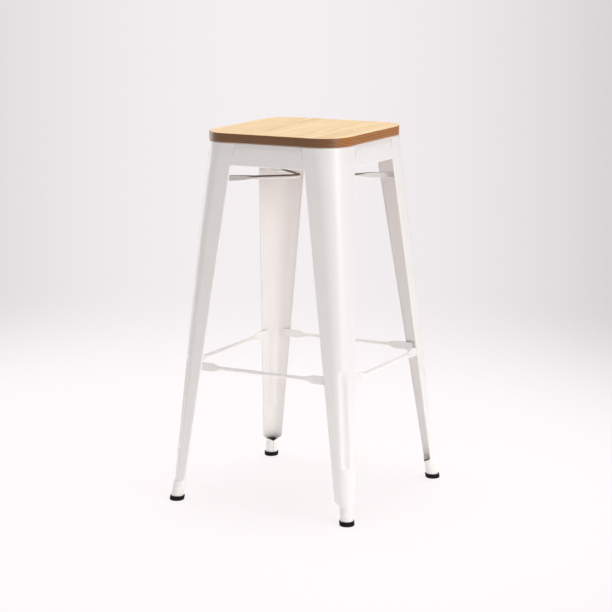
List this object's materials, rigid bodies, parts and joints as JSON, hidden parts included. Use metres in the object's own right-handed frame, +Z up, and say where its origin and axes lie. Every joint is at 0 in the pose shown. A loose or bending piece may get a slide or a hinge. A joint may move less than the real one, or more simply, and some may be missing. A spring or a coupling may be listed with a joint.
{
  "type": "bar stool with footrest",
  "caption": "Backless square bar stool: wooden seat with rounded corners on a white pressed-steel frame, tapered splayed legs, footrest rungs all round and rubber feet.",
  "frame": {"origin": "on the floor under the middle of the seat", "axes": "+Z up through the middle of the seat, the front faces -Y, +X to the right seen from the front"},
  "size_m": [0.426, 0.426, 0.76],
  "materials": {
    "white_powder_coat": "satin white powder coat",
    "honey_wood": "clear satin lacquer over light honey-coloured wood",
    "black_rubber": "matt black",
    "zinc_steel": "bright zinc plate"
  },
  "bodies": {
    "root": {"seat_stave_1": "honey_wood", "seat_stave_2": "honey_wood", "seat_stave_3": "honey_wood", "seat_stave_4": "honey_wood", "seat_stave_5": "honey_wood", "seat_pan": "white_powder_coat", "apron_front": "white_powder_coat", "apron_back": "white_powder_coat", "apron_left": "white_powder_coat", "apron_right": "white_powder_coat", "leg_front_left": "white_powder_coat", "leg_front_right": "white_powder_coat", "leg_back_left": "white_powder_coat", "leg_back_right": "white_powder_coat", "brace_left": "white_powder_coat", "brace_right": "white_powder_coat", "footrest_front": "white_powder_coat", "footrest_back": "white_powder_coat", "footrest_left": "white_powder_coat", "footrest_right": "white_powder_coat", "foot_cap_front_left": "black_rubber", "foot_cap_front_right": "black_rubber", "foot_cap_back_left": "black_rubber", "foot_cap_back_right": "black_rubber", "seat_screws": "zinc_steel", "seat_washers": "zinc_steel"}
  },
  "joints": []
}
